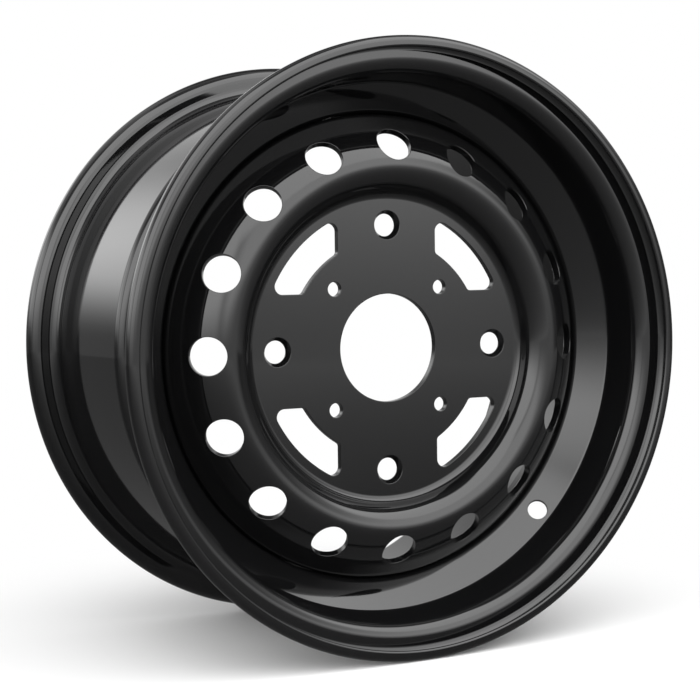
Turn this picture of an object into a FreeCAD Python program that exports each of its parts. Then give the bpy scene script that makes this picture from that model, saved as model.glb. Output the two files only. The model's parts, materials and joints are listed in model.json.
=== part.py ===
"""Pressed steel wheel of a utility vehicle: a rolled rim, a pressed disc and the welds that join them.

The wheel's axis is Y, its front (outboard) face looks towards -Y, and the origin is the middle of the
rim's width on the axis. Lengths are millimetres, angles are degrees. Bend radii are inside radii.
"""
import FreeCAD
import Part
import math
import os

# Rim sheet and its two curled flanges
RIM_SHEET = 2.5
RIM_WIDTH = 152.4
SEAT_RADIUS = 152.4
SEAT_FILLET = 6.0
FLANGE_WALL = 2.8
CURL_BACK_BEND = 4.9
LIP_FLAT = 0.4
CURL_FRONT_BEND = 1.7
LIP_REACH = 5.2

# Front bead seat, slope, drop well and rear ledge, on the tyre side
FRONT_SEAT_WIDTH = 26.6
FRONT_SEAT_TAPER = 5.0
SEAT_BEND = 3.5
SLOPE_ANGLE = 52.0
WELL_DEPTH = 18.9
WELL_WIDTH = 15.9
WELL_BEND = 4.0
WELL_WALL_ANGLE = 75.0
REAR_LEDGE_TAPER = 2.0

# Valve hole in the slope
VALVE_HOLE = 11.5
VALVE_DROP = 11.4
VALVE_TURN = -45.0

# Disc: hub face, dish, crest, brow, round shoulder and the skirt that sits in the well
DISC_SHEET = 4.0
HUB_FACE_DEPTH = 29.6
DISH_INSET = 48.15
HUB_FACE_FILLET = 4.5
DISH_ANGLE = 68.0
CREST_HEIGHT = 14.2
CREST_BEND = 10.0
BROW_ANGLE = 21.5
BROW_FLAT = 0.3
SHOULDER_BEND = 35.3
SHOULDER_ANGLE = 50.0
SKIRT_BEND = 4.0
SKIRT_SETBACK = 6.1
SKIRT_FIT = 0.05

# Holes of the disc
CENTRE_BORE = 60.4
LUG_COUNT = 4
LUG_CIRCLE = 137.0
LUG_HOLE = 12.6
LUG_SEAT = 16.2
LUG_SEAT_ANGLE = 60.0
SMALL_COUNT = 4
SMALL_CIRCLE = 94.4
SMALL_HOLE = 8.0
SMALL_TURN = 45.0
WINDOW_COUNT = 4
WINDOW_INNER_RADIUS = 61.0
WINDOW_OUTER_RADIUS = 78.5
WINDOW_LAND = 31.0
WINDOW_OUTER_CORNER = 4.5
WINDOW_INNER_CORNER = 2.5
VENT_COUNT = 16
VENT_HOLE = 20.4
VENT_INSET = 17.55

# Weld stitches behind the skirt
WELD_COUNT = 8
WELD_SPAN = 21.0
WELD_LEG = 3.0
WELD_CROWN = 0.5

# Worked out from the sizes above
HALF_WIDTH = RIM_WIDTH / 2
FLANGE_RADIUS = SEAT_RADIUS + SEAT_FILLET + FLANGE_WALL + CURL_BACK_BEND + RIM_SHEET
LIP_FACE = HALF_WIDTH + CURL_BACK_BEND + LIP_FLAT + CURL_FRONT_BEND + 2 * RIM_SHEET
LIP_END_RADIUS = FLANGE_RADIUS - LIP_REACH
WELL_RADIUS = SEAT_RADIUS - WELL_DEPTH
WELL_BORE_RADIUS = WELL_RADIUS - RIM_SHEET
VALVE_RADIUS = SEAT_RADIUS - VALVE_DROP
SKIRT_RADIUS = WELL_BORE_RADIUS - SKIRT_FIT
HUB_FACE_RADIUS = SKIRT_RADIUS - DISH_INSET
VENT_RADIUS = SKIRT_RADIUS - VENT_INSET
HUB_FACE = HUB_FACE_DEPTH - HALF_WIDTH
CREST_ROUND = CREST_BEND + DISC_SHEET
CREST_HALF_TURN = (DISH_ANGLE + BROW_ANGLE) / 2
SHOULDER_ROUND = SHOULDER_BEND + DISC_SHEET
SHOULDER_HALF_TURN = (SHOULDER_ANGLE - BROW_ANGLE) / 2
CUT_LENGTH = 4 * DISC_SHEET

CENTRE = FreeCAD.Vector(0, 0, 0)
AXIS = FreeCAD.Vector(0, 1, 0)
FULL_TURN = 360.0
NEARLY_NOTHING = 1e-6


def tangent(angle):
    """Tangent of an angle in degrees."""
    return math.tan(math.radians(angle))


def cosine(angle):
    """Cosine of an angle in degrees."""
    return math.cos(math.radians(angle))


def at(radius, place):
    """Point of the section plane, where X is the radius and Y runs along the wheel's axis."""
    return FreeCAD.Vector(radius, place, 0)


def heading(angle):
    """Unit step in the section plane, at an angle from straight outwards towards the rear."""
    return at(math.cos(math.radians(angle)), math.sin(math.radians(angle)))


def leftward(step):
    """Unit step a quarter turn to the left of a step in the section plane."""
    return at(-step.y, step.x).normalize()


def beside(points, distance):
    """Corners of the line that runs at an even distance to the left of a line of corners."""
    sides = [leftward(end - start) for start, end in zip(points, points[1:])]
    corners = [points[0] + sides[0] * distance]
    for corner, before, after in zip(points[1:], sides, sides[1:]):
        corners.append(corner + (before + after) * (distance / (1 + before.dot(after))))
    corners.append(points[-1] + sides[-1] * distance)
    return corners


def bent_line(points, radii):
    """Edges of a line of corners whose inner corners are rounded by the given radii."""
    edges = []
    start = points[0]
    for before, corner, after, radius in zip(points, points[1:], points[2:], radii):
        back = (before - corner).normalize()
        ahead = (after - corner).normalize()
        half_turn = (math.pi - math.acos(back.dot(ahead))) / 2
        reach = radius * math.tan(half_turn)
        inward = (back + ahead).normalize()
        arc_start = corner + back * reach
        arc_middle = corner + inward * (radius / math.cos(half_turn) - radius)
        arc_end = corner + ahead * reach
        edges.append(Part.LineSegment(start, arc_start).toShape())
        edges.append(Part.Arc(arc_start, arc_middle, arc_end).toShape())
        start = arc_end
    edges.append(Part.LineSegment(start, points[-1]).toShape())
    return edges


def square_end(side, other_side, outward):
    """Edge across the cut end of a sheet."""
    return Part.LineSegment(side, other_side).toShape()


def round_end(side, other_side, outward):
    """Half circle across the rounded end of a sheet."""
    nose = (side + other_side) * 0.5 + outward * ((side - other_side).Length / 2)
    return Part.Arc(side, nose, other_side).toShape()


def sheet_section(points, bends, sheet, end_edge):
    """Face of a bent sheet that lies to the left of a line of corners, with the given inside bends."""
    radii = []
    other_radii = []
    for before, corner, after, bend in zip(points, points[1:], points[2:], bends):
        bends_left = (corner - before).cross(after - corner).z > 0
        radii.append(bend + sheet if bends_left else bend)
        other_radii.append(bend if bends_left else bend + sheet)
    other_points = beside(points, sheet)
    edges = bent_line(points, radii) + bent_line(other_points, other_radii)
    edges.append(end_edge(points[0], other_points[0], (points[0] - points[1]).normalize()))
    edges.append(end_edge(points[-1], other_points[-1], (points[-1] - points[-2]).normalize()))
    return Part.Face(Part.Wire(Part.__sortEdges__(edges)))


def turned(shape, angle):
    """Copy of a shape turned round the wheel's axis, from right (+X) towards up (+Z)."""
    return shape.rotated(CENTRE, AXIS, -angle)


def pattern(shape, count, first_turn=0.0):
    """Copies of a shape at even steps round the wheel's axis."""
    return [turned(shape, first_turn + FULL_TURN * place / count) for place in range(count)]


def drill(diameter, middle, along):
    """Cylinder that passes through the sheet at a point of the section plane."""
    return Part.makeCylinder(diameter / 2, CUT_LENGTH, middle - along * (CUT_LENGTH / 2), along)


def rim_corners():
    """Corners of the rim's tyre side, from the front lip to the rear lip."""
    seat_end = FRONT_SEAT_WIDTH - HALF_WIDTH
    seat_end_radius = SEAT_RADIUS - FRONT_SEAT_WIDTH * tangent(FRONT_SEAT_TAPER)
    well_start = seat_end + (seat_end_radius - WELL_RADIUS) / tangent(SLOPE_ANGLE)
    well_end = well_start + WELL_WIDTH
    lean = 1 / tangent(WELL_WALL_ANGLE)
    taper = tangent(REAR_LEDGE_TAPER)
    wall_height = (WELL_DEPTH - (HALF_WIDTH - well_end) * taper) / (1 - lean * taper)
    return [
        at(LIP_END_RADIUS, -LIP_FACE),
        at(FLANGE_RADIUS, -LIP_FACE),
        at(FLANGE_RADIUS, -HALF_WIDTH),
        at(SEAT_RADIUS, -HALF_WIDTH),
        at(seat_end_radius, seat_end),
        at(WELL_RADIUS, well_start),
        at(WELL_RADIUS, well_end),
        at(WELL_RADIUS + wall_height, well_end + wall_height * lean),
        at(SEAT_RADIUS, HALF_WIDTH),
        at(FLANGE_RADIUS, HALF_WIDTH),
        at(FLANGE_RADIUS, LIP_FACE),
        at(LIP_END_RADIUS, LIP_FACE),
    ]


def rim_barrel():
    """Rolled rim: curled flanges, the front seat, the slope with its valve hole, the well and the ledge."""
    corners = rim_corners()
    flange_bends = [CURL_FRONT_BEND, CURL_BACK_BEND, SEAT_FILLET]
    well_bends = [SEAT_BEND, WELL_BEND, WELL_BEND, SEAT_BEND]
    bends = flange_bends + well_bends + flange_bends[::-1]
    section = sheet_section(corners, bends, RIM_SHEET, round_end)
    barrel = section.revolve(CENTRE, AXIS, FULL_TURN)
    slope_start = beside(corners, RIM_SHEET)[4]
    valve_place = slope_start.y + (slope_start.x - VALVE_RADIUS) / tangent(SLOPE_ANGLE)
    valve_hole = drill(VALVE_HOLE, at(VALVE_RADIUS, valve_place), heading(SLOPE_ANGLE))
    return barrel.cut(turned(valve_hole, VALVE_TURN))


def skirt_end():
    """Place along the axis where the disc's skirt ends, measured back from the end of the well."""
    return rim_corners()[6].y - SKIRT_SETBACK


def disc_corners():
    """Corners of the disc's front side, from the centre bore to the end of the skirt."""
    dish_foot = HUB_FACE_RADIUS + HUB_FACE_FILLET * tangent(DISH_ANGLE / 2)
    crest_lean = (DISH_ANGLE - BROW_ANGLE) / 2
    round_off = CREST_ROUND * (cosine(crest_lean) / cosine(CREST_HALF_TURN) - 1)
    rise = CREST_HEIGHT + round_off
    crest = at(dish_foot + rise / tangent(DISH_ANGLE), HUB_FACE - rise)
    crest_reach = CREST_ROUND * tangent(CREST_HALF_TURN)
    shoulder_reach = SHOULDER_ROUND * tangent(SHOULDER_HALF_TURN)
    shoulder = crest + heading(BROW_ANGLE) * (crest_reach + BROW_FLAT + shoulder_reach)
    skirt_start = shoulder.y + (SKIRT_RADIUS - shoulder.x) * tangent(SHOULDER_ANGLE)
    return [
        at(CENTRE_BORE / 2, HUB_FACE),
        at(dish_foot, HUB_FACE),
        crest,
        shoulder,
        at(SKIRT_RADIUS, skirt_start),
        at(SKIRT_RADIUS, skirt_end()),
    ]


def lug_hole():
    """Bolt hole with the cone that centres a tapered nut, on the front of the hub face."""
    middle = at(LUG_CIRCLE / 2, HUB_FACE)
    depth = (LUG_SEAT - LUG_HOLE) / 2 / tangent(LUG_SEAT_ANGLE / 2)
    seat = Part.makeCone(LUG_SEAT / 2, LUG_HOLE / 2, depth, middle, AXIS)
    return drill(LUG_HOLE, middle, AXIS).fuse(seat)


def vent_hole(corners):
    """Round vent, square to the round shoulder."""
    shoulder = corners[3]
    brow = heading(BROW_ANGLE)
    round_start = shoulder - brow * (SHOULDER_ROUND * tangent(SHOULDER_HALF_TURN))
    round_centre = round_start + leftward(brow) * SHOULDER_ROUND
    slope = math.degrees(math.asin((VENT_RADIUS - round_centre.x) / SHOULDER_ROUND))
    inward = leftward(heading(slope))
    return drill(VENT_HOLE, round_centre - inward * SHOULDER_ROUND, inward)


def edges_along_axis(block, radius):
    """Edges of a block that run along the wheel's axis at the given radius."""
    found = []
    for edge in block.Edges:
        step = edge.Vertexes[0].Point - edge.Vertexes[-1].Point
        middle = edge.CenterOfMass
        off_axis = math.hypot(step.x, step.z)
        off_radius = abs(math.hypot(middle.x, middle.z) - radius)
        if off_axis < NEARLY_NOTHING and off_radius < NEARLY_NOTHING and step.Length > NEARLY_NOTHING:
            found.append(edge)
    return found


def window_hole():
    """Arched window between two arcs, with ends that run square to each other beside the lug lands."""
    base = at(0, HUB_FACE - CUT_LENGTH / 2)
    outer = Part.makeCylinder(WINDOW_OUTER_RADIUS, CUT_LENGTH, base, AXIS)
    inner = Part.makeCylinder(WINDOW_INNER_RADIUS, CUT_LENGTH, base, AXIS)
    land_corner = base + FreeCAD.Vector(WINDOW_LAND, 0, WINDOW_LAND)
    quarter = Part.makeBox(WINDOW_OUTER_RADIUS, CUT_LENGTH, WINDOW_OUTER_RADIUS, land_corner)
    block = outer.cut(inner).common(quarter)
    block = block.makeFillet(WINDOW_OUTER_CORNER, edges_along_axis(block, WINDOW_OUTER_RADIUS))
    return block.makeFillet(WINDOW_INNER_CORNER, edges_along_axis(block, WINDOW_INNER_RADIUS))


def wheel_disc():
    """Pressed disc: dished hub face, crest, vented shoulder and the skirt that sits in the rim's well."""
    corners = disc_corners()
    bends = [HUB_FACE_FILLET, CREST_BEND, SHOULDER_BEND, SKIRT_BEND]
    disc = sheet_section(corners, bends, DISC_SHEET, square_end).revolve(CENTRE, AXIS, FULL_TURN)
    small_hole = drill(SMALL_HOLE, at(SMALL_CIRCLE / 2, HUB_FACE), AXIS)
    holes = pattern(lug_hole(), LUG_COUNT)
    holes += pattern(small_hole, SMALL_COUNT, SMALL_TURN)
    holes += pattern(window_hole(), WINDOW_COUNT)
    holes += pattern(vent_hole(corners), VENT_COUNT)
    return disc.cut(holes)


def disc_welds():
    """Fillet weld stitches in the corner between the skirt's end and the well."""
    root = at(WELL_BORE_RADIUS, skirt_end())
    toe_on_well = root + at(0, WELD_LEG)
    toe_on_skirt = root - at(WELD_LEG, 0)
    crown = (toe_on_well + toe_on_skirt) * 0.5 + at(-1, 1).normalize() * WELD_CROWN
    edges = [
        Part.LineSegment(root, toe_on_well).toShape(),
        Part.Arc(toe_on_well, crown, toe_on_skirt).toShape(),
        Part.LineSegment(toe_on_skirt, root).toShape(),
    ]
    section = Part.Face(Part.Wire(edges))
    stitch = section.revolve(CENTRE, AXIS, WELD_SPAN)
    return Part.makeCompound(pattern(stitch, WELD_COUNT, WELD_SPAN / 2))


def main():
    """Write one file for each piece of the wheel."""
    os.makedirs("parts", exist_ok=True)
    pieces = {
        "rim_barrel": rim_barrel(),
        "wheel_disc": wheel_disc(),
        "disc_welds": disc_welds(),
    }
    for name, shape in pieces.items():
        shape.exportStep(os.path.join("parts", name + ".step"))
        print(name, len(shape.Solids), "solids", round(shape.Volume), "mm3", shape.isValid())


main()
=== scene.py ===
"""Looks of a gloss black pressed-steel wheel that stands upright on a pale floor.

The wheel's axis is Y, its front looks towards -Y and up is +Z. Lengths are metres and angles are degrees
unless a name says otherwise. A section of the wheel is drawn in a plane of radius and place along the axis.
"""
import json
import logging
from dataclasses import dataclass, field
from enum import Enum
from typing import Any, Sequence

import bpy
import numpy as np
from mathutils import Matrix, Vector


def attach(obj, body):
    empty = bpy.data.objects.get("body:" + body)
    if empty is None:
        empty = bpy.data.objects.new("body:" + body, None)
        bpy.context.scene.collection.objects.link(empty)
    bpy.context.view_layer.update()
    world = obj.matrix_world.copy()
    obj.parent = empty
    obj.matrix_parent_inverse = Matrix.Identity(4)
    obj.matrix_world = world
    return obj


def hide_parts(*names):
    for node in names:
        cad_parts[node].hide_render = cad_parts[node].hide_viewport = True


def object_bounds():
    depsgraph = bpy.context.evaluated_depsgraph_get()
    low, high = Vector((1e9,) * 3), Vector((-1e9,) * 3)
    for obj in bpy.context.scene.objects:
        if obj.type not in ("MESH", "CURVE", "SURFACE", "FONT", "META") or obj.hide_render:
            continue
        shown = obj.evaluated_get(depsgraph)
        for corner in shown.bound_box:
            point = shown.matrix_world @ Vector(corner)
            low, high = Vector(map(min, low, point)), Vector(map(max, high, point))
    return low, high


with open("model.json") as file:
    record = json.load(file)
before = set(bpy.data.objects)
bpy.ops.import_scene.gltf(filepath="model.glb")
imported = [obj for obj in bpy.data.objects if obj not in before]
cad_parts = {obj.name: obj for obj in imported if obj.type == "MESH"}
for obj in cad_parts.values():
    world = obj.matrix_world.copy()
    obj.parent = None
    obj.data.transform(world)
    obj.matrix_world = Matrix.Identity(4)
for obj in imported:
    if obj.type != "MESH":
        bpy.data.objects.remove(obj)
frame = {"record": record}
CAD_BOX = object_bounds()

Array = np.ndarray
Inputs = dict[str | int, Any]
MM = 0.001

# Cells of a grid all the way round the wheel, and the most that one cell spans along a section: degrees of a bend,
# degrees of a hole's small rounded edge and metres of a straight. The slack keeps a whole count whole.
CELLS_ROUND = 384
BEND_STEP = 11.25
EDGE_STEP = 22.5
STRAIGHT_STEP = 14 * MM
COUNT_SLACK = 1e-6

# Points of neighbouring grids that fall into one box of this size are one point. The size is an odd one, so that
# no drawn size lies on the border between two boxes.
JOIN_GRID = 0.9173e-6

log = logging.getLogger("wheel")


def turn_of(cell: float) -> float:
    """Angle in radians of a place counted in cells round the wheel."""
    return 2 * np.pi * cell / CELLS_ROUND


def turns_between(from_cell: float, to_cell: float) -> Array:
    """Angles in radians at every cell from one place to another, both included."""
    return turn_of(np.linspace(from_cell, to_cell, int(round(to_cell - from_cell)) + 1))


def stack(*parts: Array) -> Array:
    """Joins coordinates into points along a new last direction."""
    return np.stack(np.broadcast_arrays(*parts), axis=-1)


def unit(vectors: Array) -> Array:
    """Vectors of length one with the same directions."""
    return vectors / np.linalg.norm(vectors, axis=-1, keepdims=True)


def smooth(shares: Array) -> Array:
    """Shares kept from 0 to 1 and eased at both ends: three times the square less twice the cube."""
    shares = np.clip(shares, 0, 1)
    return shares * shares * (3 - 2 * shares)


def cells_of(rows: int, columns: int) -> Array:
    """Corner numbers of a grid's cells, one cell a row, with the grid's points counted row after row."""
    index = np.arange(rows * columns).reshape(rows, columns)
    return stack(index[:-1, :-1], index[1:, :-1], index[1:, 1:], index[:-1, 1:]).reshape(-1, 4)


class Side(Enum):
    """Side of a sheet, as the sign of its outward normal to the right of the line that it follows."""

    FACE = 1.0
    BACK = -1.0


@dataclass(frozen=True)
class BentLine:
    """Straights and arcs in a plane, one after the other.

    A point at a length along a run of constant curvature lies one chord from the run's start, where the chord
    is the length times the sine of half the turn over half the turn, and it leaves at half the turn.
    """

    starts: Array
    headings: Array
    lengths: Array
    curvatures: Array

    @classmethod
    def through(cls, corners: Array, radii: Sequence[float]) -> "BentLine":
        """Line through corners whose inner corners are rounded.

        An arc begins before its corner by its radius times the tangent of half its turn.

        Args:
            corners: Corner points, one a row.
            radii: Radius of the arc at each inner corner.

        Returns:
            The line, with straights and arcs in turn.
        """
        corners = np.asarray(corners, float)
        radii = np.asarray(radii, float)
        steps = np.diff(corners, axis=0)
        ways = np.arctan2(steps[:, 1], steps[:, 0])
        turns = (np.diff(ways) + np.pi) % (2 * np.pi) - np.pi
        reach = np.concatenate([[0], radii * np.tan(np.abs(turns) / 2), [0]])
        count = 2 * len(steps) - 1
        lengths = np.empty(count)
        lengths[0::2] = np.linalg.norm(steps, axis=1) - reach[:-1] - reach[1:]
        lengths[1::2] = radii * np.abs(turns)
        curvatures = np.zeros(count)
        curvatures[1::2] = np.sign(turns) / radii
        headings = np.empty(count)
        headings[0::2] = ways
        headings[1::2] = ways[:-1]
        half = lengths * curvatures / 2
        chord_ways = headings + half
        chords = (lengths * np.sinc(half / np.pi))[:, None] * stack(np.cos(chord_ways), np.sin(chord_ways))
        starts = corners[0] + np.concatenate([np.zeros((1, 2)), np.cumsum(chords, axis=0)[:-1]])
        return cls(starts, headings, lengths, curvatures)

    @property
    def ends(self) -> Array:
        """Length along the line at the end of each run."""
        return np.cumsum(self.lengths)

    def run(self, place: int) -> tuple[float, float]:
        """Lengths along the line at the start and the end of a run; straights and arcs count in turn."""
        return self.ends[place] - self.lengths[place], self.ends[place]

    def at(self, along: Array) -> tuple[Array, Array]:
        """Points and headings at lengths along the line.

        Args:
            along: Lengths from the line's start, in any shape.

        Returns:
            Points with two coordinates, and headings in radians.
        """
        along = np.asarray(along, float)
        place = np.searchsorted(self.ends[:-1], along, side="right")
        ahead = along - (self.ends - self.lengths)[place]
        half = self.curvatures[place] * ahead / 2
        ways = self.headings[place] + half
        chords = (ahead * np.sinc(half / np.pi))[..., None] * stack(np.cos(ways), np.sin(ways))
        return self.starts[place] + chords, ways + half

    def samples(self, first: float, last: float, bend_step: float = BEND_STEP) -> Array:
        """Lengths along the line that are close in arcs and further apart in straights.

        Args:
            first: Length at the first sample.
            last: Length at the last sample.
            bend_step: Most degrees of an arc between two samples.

        Returns:
            Rising lengths, both ends included.
        """
        knots = np.unique(np.clip(np.concatenate([[first], self.ends, [last]]), first, last))
        knots = knots[np.concatenate([[True], np.diff(knots) > JOIN_GRID])]
        knots[-1] = last
        spans = np.diff(knots)
        middles = np.searchsorted(self.ends[:-1], knots[:-1] + spans / 2, side="right")
        turns = np.degrees(np.abs(self.curvatures[middles]) * spans)
        cells = np.ceil(np.maximum(turns / bend_step, spans / STRAIGHT_STEP) - COUNT_SLACK)
        cells = np.maximum(cells, 1).astype(int)
        return np.interp(np.arange(cells.sum() + 1), np.concatenate([[0], np.cumsum(cells)]), knots)


@dataclass
class Skin:
    """Grids of points with normals that join into one closed mesh, each corner keeping its own grid's normal."""

    points: list[Array] = field(default_factory=list)
    normals: list[Array] = field(default_factory=list)
    quads: list[Array] = field(default_factory=list)
    count: int = 0

    def add(self, points: Array, normals: Array) -> None:
        """Adds the cells of a grid, wound so that the products of their diagonals face the way its normals do.

        Args:
            points: Grid of points.
            normals: Grid of unit normals.
        """
        quads = self.count + cells_of(*points.shape[:2])
        across = np.cross(points[1:, 1:] - points[:-1, :-1], points[:-1, 1:] - points[1:, :-1])
        facing = np.sum(across * normals[:-1, :-1])
        self.quads.append(quads if facing > 0 else quads[:, ::-1])
        self.points.append(points.reshape(-1, 3))
        self.normals.append(normals.reshape(-1, 3))
        self.count += points.shape[0] * points.shape[1]

    def to_object(self, name: str) -> bpy.types.Object:
        """Joins the grids where they meet and makes an object of them.

        Args:
            name: Name of the object and its mesh.

        Returns:
            The object, linked to the scene.
        """
        points = np.concatenate(self.points)
        normals = np.concatenate(self.normals)
        quads = np.concatenate(self.quads)
        _, kept, place = np.unique(np.round(points / JOIN_GRID).astype(np.int64), axis=0,
                                   return_index=True, return_inverse=True)
        joined = place.reshape(-1)[quads]
        solid = joined != np.roll(joined, -1, axis=1)
        usable = solid.sum(axis=1) >= 3
        solid, joined, quads = solid[usable], joined[usable], quads[usable]
        sizes = solid.sum(axis=1)
        corners = joined[solid]
        mesh = bpy.data.meshes.new(name)
        mesh.vertices.add(len(kept))
        mesh.vertices.foreach_set("co", points[kept].astype(np.float32).reshape(-1))
        mesh.loops.add(len(corners))
        mesh.loops.foreach_set("vertex_index", corners.astype(np.int32))
        mesh.polygons.add(len(sizes))
        mesh.polygons.foreach_set("loop_start", (np.cumsum(sizes) - sizes).astype(np.int32))
        mesh.polygons.foreach_set("use_smooth", np.ones(len(sizes), bool))
        mesh.update(calc_edges=True)
        mesh.normals_split_custom_set(normals[quads[solid]].tolist())
        piece = bpy.data.objects.new(name, mesh)
        bpy.context.scene.collection.objects.link(piece)
        return piece


def carried_round(section: Array, ways: Array, side: float, turns: Array) -> tuple[Array, Array]:
    """Points and normals of a section carried round the wheel's axis.

    A point lies its radius times the cosine of the angle to the right and times the sine upwards. Its normal is
    the heading turned by a quarter in the section.

    Args:
        section: Radius and place along the axis.
        ways: Headings of the section, in radians.
        side: Sign of the outward normal to the right of the heading.
        turns: Angles round the axis, in radians.

    Returns:
        Points and unit normals.
    """
    radius, place = section[..., 0], section[..., 1]
    out, along = side * np.sin(ways), -side * np.cos(ways)
    points = stack(radius * np.cos(turns), place, radius * np.sin(turns))
    return points, stack(out * np.cos(turns), along, out * np.sin(turns))


@dataclass(frozen=True)
class TurnedSheet:
    """A bent sheet turned round the wheel's axis.

    A point of a side is the section's point at a length along that side's line, carried round the axis by an
    angle from right (+X) towards up (+Z).
    """

    corners: Array
    bends: Sequence[float]
    thickness: float

    def line(self, side: Side) -> BentLine:
        """Line that a side of the sheet follows in the section.

        The back lies to the left of the face. Its corner is the face's moved by the thickness times the sum of the
        two left normals there over one plus their product.

        Args:
            side: Side of the sheet.

        Returns:
            The line, each bend larger by the thickness where the side is outside it.
        """
        steps = unit(np.diff(self.corners, axis=0))
        lefts = stack(-steps[:, 1], steps[:, 0])
        crosses = steps[:-1, 0] * steps[1:, 1] - steps[:-1, 1] * steps[1:, 0]
        outer = (crosses > 0) == (side is Side.FACE)
        radii = np.asarray(self.bends) + np.where(outer, self.thickness, 0)
        if side is Side.FACE:
            return BentLine.through(self.corners, radii)
        shares = 1 / (1 + np.sum(lefts[:-1] * lefts[1:], axis=1))
        aside = np.concatenate([lefts[:1], (lefts[:-1] + lefts[1:]) * shares[:, None], lefts[-1:]])
        return BentLine.through(self.corners + aside * self.thickness, radii)

    def end_line(self, first: bool, reach: float, bend: float) -> BentLine:
        """Line from the face to the back across an end of the sheet.

        Args:
            first: Whether it is the end at the first corner.
            reach: How far the end stands out past the last corner.
            bend: Radius of the two edges.

        Returns:
            The line, with its straights on the two sides at its ends.
        """
        inner, outer = (1, 0) if first else (-2, -1)
        out = unit(self.corners[outer] - self.corners[inner])
        aside = stack(-out[1], out[0]) * (-self.thickness if first else self.thickness)
        tip = self.corners[outer] + out * reach
        root = tip - out * 2 * bend
        return BentLine.through(np.array([root, tip, tip + aside, root + aside]), [bend, bend])

    def end_strip(self, skin: Skin, first: bool, reach: float, bend: float) -> None:
        """Adds the end of the sheet, its line carried all the way round.

        Args:
            skin: Skin that the end goes to.
            first: Whether it is the end at the first corner.
            reach: How far the end stands out past the last corner.
            bend: Radius of the two edges.
        """
        line = self.end_line(first, reach, bend)
        section, ways = line.at(line.samples(line.ends[0], line.ends[-2]))
        side = Side.BACK if first else Side.FACE
        turns = turns_between(0, CELLS_ROUND)
        skin.add(*carried_round(section[:, None], ways[:, None], side.value, turns[None, :]))

    def sides(self) -> "tuple[SheetSide, SheetSide]":
        """The face and the back as surfaces."""
        return SheetSide(self.line(Side.FACE), Side.FACE), SheetSide(self.line(Side.BACK), Side.BACK)


@dataclass(frozen=True)
class SheetSide:
    """One side of a turned sheet, as a surface of length along its line and angle round the axis."""

    line: BentLine
    side: Side

    def lift(self, along: Array, turns: Array) -> tuple[Array, Array]:
        """Points and normals at lengths along the line and angles round the axis."""
        section, ways = self.line.at(along)
        return carried_round(section, ways, self.side.value, turns)

    def strip(self, skin: Skin, along: Array, from_cell: float = 0, to_cell: float = CELLS_ROUND) -> None:
        """Adds the surface at lengths along the line, all the way round or between two cells."""
        skin.add(*self.lift(along[:, None], turns_between(from_cell, to_cell)[None, :]))

    def length_at(self, run: int, radius: Array) -> Array:
        """Lengths along the line where a run passes radii.

        On an arc, the sine of the heading grows by the curvature times the way outwards.

        Args:
            run: Straight or arc, counted in turn.
            radius: Radii that the run reaches.

        Returns:
            Lengths from the line's start.
        """
        first, _ = self.line.run(run)
        out, way, bend = radius - self.line.starts[run, 0], self.line.headings[run], self.line.curvatures[run]
        if bend == 0:
            return first + out / np.cos(way)
        return first + (np.arcsin(np.sin(way) + bend * out) - way) / bend


@dataclass(frozen=True)
class Field:
    """A rectangle of a sheet's side, in length along its line and cells round the axis, that holds one hole."""

    first: float
    last: float
    from_cell: float
    to_cell: float
    cells_along: int

    @property
    def cells_round(self) -> int:
        """Cells of the rectangle round the axis."""
        return int(round(self.to_cell - self.from_cell))

    def border(self) -> tuple[Array, Array]:
        """Samples of the border, side after side: first, to, last and from.

        Returns:
            Lengths along the line and angles round the axis, in radians.
        """
        up = np.linspace(self.first, self.last, self.cells_along + 1)
        around = turns_between(self.from_cell, self.to_cell)
        lengths = [np.full(self.cells_round, self.first), up[:-1], np.full(self.cells_round, self.last), up[:0:-1]]
        turns = [around[:-1], np.full(self.cells_along, around[-1]), around[:0:-1],
                 np.full(self.cells_along, around[0])]
        return np.concatenate(lengths), np.concatenate(turns)


@dataclass(frozen=True)
class HoleEdge:
    """Outline of a hole on the two sides of a sheet, the samples in the border's order."""

    face_points: Array
    back_points: Array
    face_loop: tuple[Array, Array]
    back_loop: tuple[Array, Array]
    outward: Array


def closed(loop: Array) -> Array:
    """A loop of samples with its first repeated at the end."""
    return np.concatenate([loop, loop[:1]])


@dataclass(frozen=True)
class HoleWall:
    """Section of a hole's wall, in distance from the bare hole into the sheet and depth from the face."""

    depth: float
    edge: float
    seat: float = 0.0
    seat_depth: float = 0.0

    def line(self) -> BentLine:
        """Line from the face down the wall to the back, with rounded edges and a coned seat where there is one.

        Returns:
            The line, with its straights on the two sides at its ends.
        """
        start = [[self.seat + 2 * self.edge, 0], [self.seat, 0]]
        seat = [[0, self.seat_depth]] if self.seat else []
        end = [[0, self.depth], [2 * self.edge, self.depth]]
        corners = np.array(start + seat + end)
        return BentLine.through(corners, [self.edge] * (len(corners) - 2))

    @property
    def face_growth(self) -> float:
        """How far the outline on the face lies outside the bare hole."""
        return self.line().starts[1, 0]

    @property
    def back_growth(self) -> float:
        """How far the outline on the back lies outside the bare hole."""
        return self.line().starts[-1, 0]


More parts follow.
